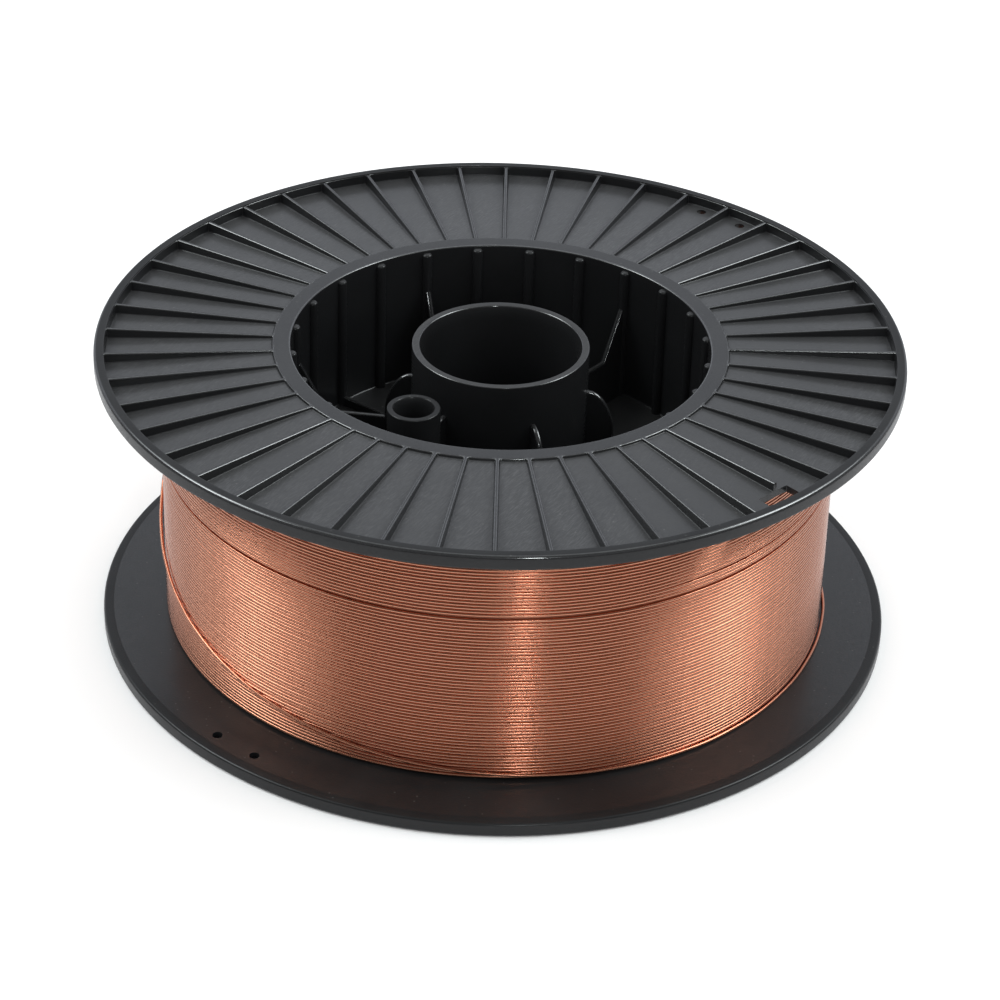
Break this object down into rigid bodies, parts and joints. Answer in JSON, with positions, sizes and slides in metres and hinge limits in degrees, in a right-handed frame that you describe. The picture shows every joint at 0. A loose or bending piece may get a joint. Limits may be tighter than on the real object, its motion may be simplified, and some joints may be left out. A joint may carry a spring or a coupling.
{
  "type": "spool of mig welding wire",
  "caption": "Ribbed plastic spool with a hub bore and driver socket, wound with a coil of copper-coated welding wire.",
  "frame": {"origin": "centre of the lower rim's face, where the spool stands", "axes": "+Z along the hub bore, out of the upper side; -Y towards the viewer of the picture; +X to the viewer's right"},
  "size_m": [0.27, 0.27, 0.105],
  "materials": {
    "black_plastic": "semi-gloss moulded polystyrene, finely grained, with light scuffs and dust",
    "coppered_wire": "bright drawn steel wire with a thin copper coat"
  },
  "bodies": {
    "root": {"spool": "black_plastic", "wire": "coppered_wire"}
  },
  "joints": []
}
